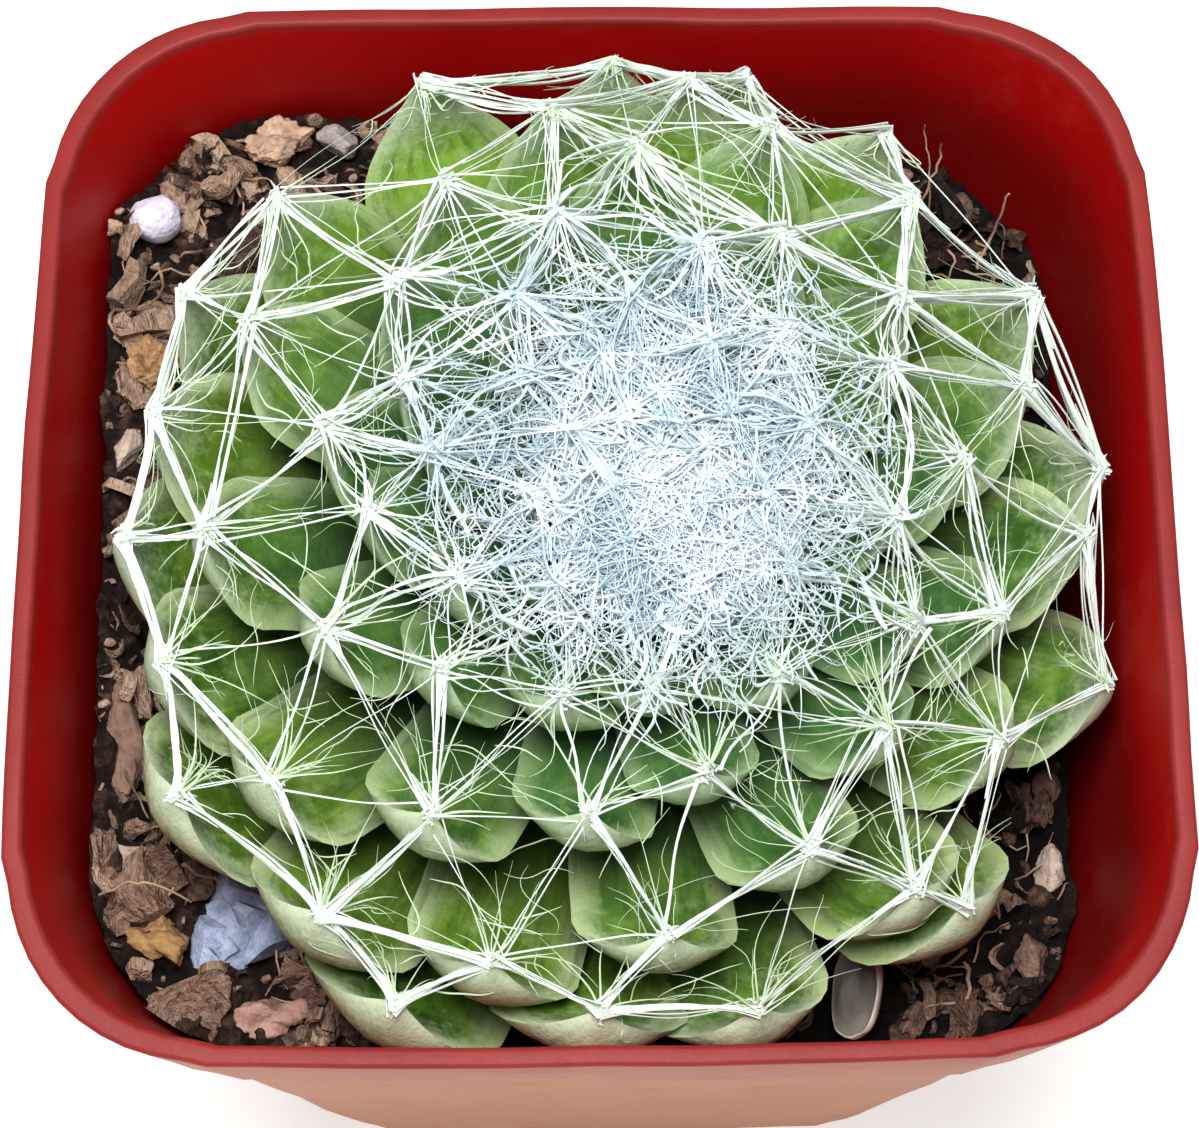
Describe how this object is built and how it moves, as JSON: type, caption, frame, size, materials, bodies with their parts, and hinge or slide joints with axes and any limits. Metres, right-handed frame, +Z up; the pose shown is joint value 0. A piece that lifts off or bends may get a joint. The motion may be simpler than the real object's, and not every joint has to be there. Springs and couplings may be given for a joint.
{
  "type": "cobweb houseleek in a square nursery pot",
  "caption": "Cobweb houseleek rosette of thick pointed leaves laced with white hairs, filling a small square red nursery pot of gritty potting mix.",
  "frame": {"origin": "middle of the pot's underside, on the surface it stands on", "axes": "+Z up through the pot, -Y towards the pot's front, +X to the right seen from the front"},
  "size_m": [0.0578, 0.0578, 0.0589],
  "materials": {
    "red_plastic": "satin",
    "potting_mix": "matte",
    "leaf": "satin",
    "hair": "matte",
    "perlite": "matte",
    "stone": "matte",
    "bark": "matte",
    "husk": "satin"
  },
  "bodies": {
    "root": {"pot": "red_plastic", "soil": "potting_mix", "rosette": "leaf", "cobweb": "hair", "perlite_grain": "perlite", "stone_chip": "stone", "seed_husk": "husk", "tan_crumb": "bark", "back_chip": "stone", "golden_crumb": "bark", "pale_chip": "husk", "bark_chip_left": "bark", "twig": "husk", "bark_chip_low": "bark", "bark_chip_corner": "bark", "pink_pebble": "bark", "grey_pebble": "stone", "bark_chip_right": "bark", "bark_chip_edge": "bark", "edge_pebble": "bark"}
  },
  "joints": []
}
